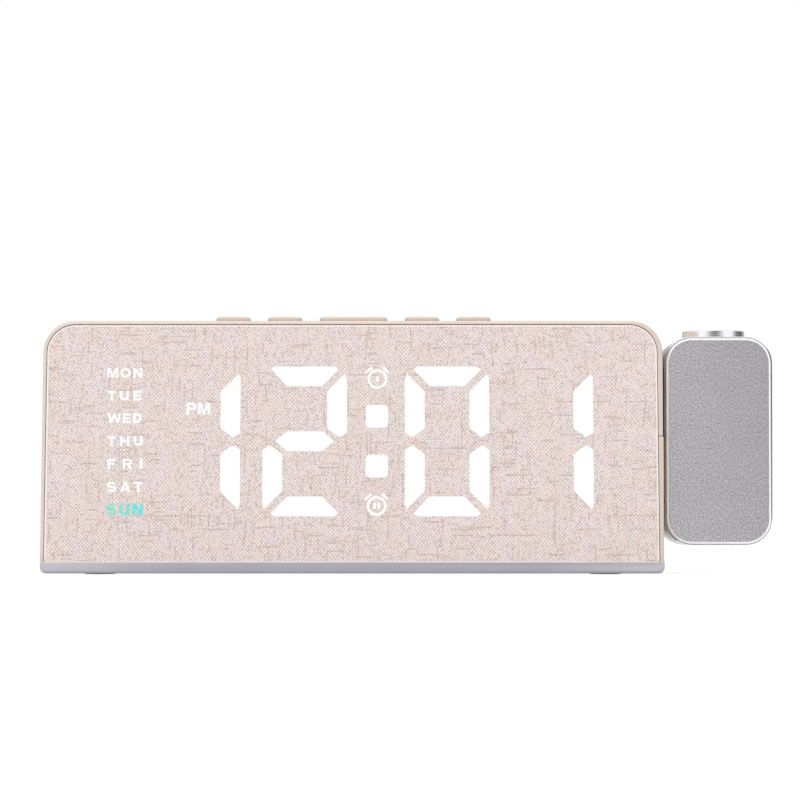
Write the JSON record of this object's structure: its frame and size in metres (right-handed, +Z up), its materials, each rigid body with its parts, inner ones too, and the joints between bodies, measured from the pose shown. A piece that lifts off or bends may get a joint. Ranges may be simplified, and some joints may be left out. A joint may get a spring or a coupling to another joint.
{
  "type": "projection alarm clock",
  "caption": "Desk alarm clock with a fabric-covered segment display, a row of push buttons on top and a swivelling end-mounted projector head with a focus ring.",
  "frame": {"origin": "on the table, under the middle of the whole clock with its projector head, level with the underside of the feet", "axes": "+X to the clock's right seen from the front, towards the projector head; -Y is the front, with the display; +Z up"},
  "size_m": [0.1906, 0.0398, 0.0679],
  "materials": {
    "housing_plastic": "satin",
    "base_plastic": "satin",
    "fabric": "woven",
    "face_panel": "clear",
    "light_box_white": "satin",
    "white_board": "satin",
    "green_board": "satin",
    "led_lens": "clear",
    "screw_steel": "satin",
    "ribbon": "satin",
    "black_plastic": "satin",
    "socket_steel": "satin",
    "button_plastic": "satin",
    "door_plastic": "satin",
    "cell_steel": "polished",
    "contact_brass": "polished",
    "foot_rubber": "matte",
    "bush_acetal": "satin",
    "washer_brass": "satin",
    "shaft_aluminium": "satin",
    "nut_brass": "satin",
    "lead_rubber": "matte",
    "plug_nylon": "satin",
    "head_metal": "satin",
    "plate_aluminium": "blasted",
    "lens_glass": "clear",
    "lcd_glass": "clear",
    "ring_aluminium": "turned"
  },
  "bodies": {
    "clock_body": {"housing": "housing_plastic", "base": "base_plastic", "rear_cover": "housing_plastic", "front_panel": "face_panel", "fabric_face": "fabric", "light_box": "light_box_white", "display_board": "white_board", "display_leds": "led_lens", "display_screws": "screw_steel", "display_ribbon": "ribbon", "main_board": "green_board", "board_chips": "black_plastic", "board_screws": "screw_steel", "dc_jack": "black_plastic", "usb_shell": "socket_steel", "usb_tongue": "black_plastic", "button_board": "green_board", "button_screws": "screw_steel", "tact_switches": "black_plastic", "button_ribbon": "ribbon", "speaker": "black_plastic", "coin_cell": "cell_steel", "cell_contact": "contact_brass", "cover_screws": "screw_steel", "base_screws": "screw_steel", "front_left_foot": "foot_rubber", "front_right_foot": "foot_rubber", "rear_left_foot": "foot_rubber", "rear_right_foot": "foot_rubber", "pivot_bush": "bush_acetal", "friction_washer": "washer_brass", "lead_plug": "plug_nylon", "board_lead": "lead_rubber"},
    "projector_head": {"swivel_clip": "screw_steel", "swivel_shaft": "shaft_aluminium", "shaft_nut": "nut_brass", "projector_lead": "lead_rubber", "projector_shell": "head_metal", "projector_plate": "plate_aluminium", "projector_board": "green_board", "projector_screws": "screw_steel", "projector_led": "led_lens", "optic_tube": "black_plastic", "condenser_lens": "lens_glass", "segment_lcd": "lcd_glass"},
    "focus_ring": {"focus_ring": "ring_aluminium", "ring_clip": "screw_steel"},
    "lens_barrel": {"lens_barrel": "black_plastic", "projection_lens": "lens_glass", "lens_retainer": "black_plastic"},
    "snooze_button": {"snooze_button": "button_plastic"},
    "left_inner_button": {"left_inner_button": "button_plastic"},
    "left_outer_button": {"left_outer_button": "button_plastic"},
    "right_inner_button": {"right_inner_button": "button_plastic"},
    "right_outer_button": {"right_outer_button": "button_plastic"},
    "battery_door": {"battery_door": "door_plastic"}
  },
  "joints": [
    {"name": "projector_swivel", "type": "hinge", "parent": "clock_body", "child": "projector_head", "pos_m": [0.0667, 0, 0.0347], "axis": [1, 0, 0], "range_deg": [-90, 90]},
    {"name": "focus_turn", "type": "hinge", "parent": "projector_head", "child": "focus_ring", "pos_m": [0.0812, 0, 0.062], "axis": [0, 0, 1], "range_deg": [-150, 150]},
    {"name": "barrel_slide", "type": "slide", "parent": "projector_head", "child": "lens_barrel", "axis": [0, 0, 1], "range_m": [-0.00105, 0.00105]},
    {"name": "snooze_button_press", "type": "slide", "parent": "clock_body", "child": "snooze_button", "axis": [0, 0, -1], "range_m": [0, 0.0005], "stiffness_N_per_m": 400, "springref_m": -0.001},
    {"name": "left_inner_button_press", "type": "slide", "parent": "clock_body", "child": "left_inner_button", "axis": [0, 0, -1], "range_m": [0, 0.0005], "stiffness_N_per_m": 400, "springref_m": -0.001},
    {"name": "left_outer_button_press", "type": "slide", "parent": "clock_body", "child": "left_outer_button", "axis": [0, 0, -1], "range_m": [0, 0.0005], "stiffness_N_per_m": 400, "springref_m": -0.001},
    {"name": "right_inner_button_press", "type": "slide", "parent": "clock_body", "child": "right_inner_button", "axis": [0, 0, -1], "range_m": [0, 0.0005], "stiffness_N_per_m": 400, "springref_m": -0.001},
    {"name": "right_outer_button_press", "type": "slide", "parent": "clock_body", "child": "right_outer_button", "axis": [0, 0, -1], "range_m": [0, 0.0005], "stiffness_N_per_m": 400, "springref_m": -0.001},
    {"name": "battery_door_release", "type": "slide", "parent": "clock_body", "child": "battery_door", "axis": [0, 0.9945, 0.1045], "range_m": [0, 0.015]}
  ],
  "couplings": [
    {"joint": "focus_turn", "follows": "barrel_slide", "rad_per_m": 2500}
  ]
}
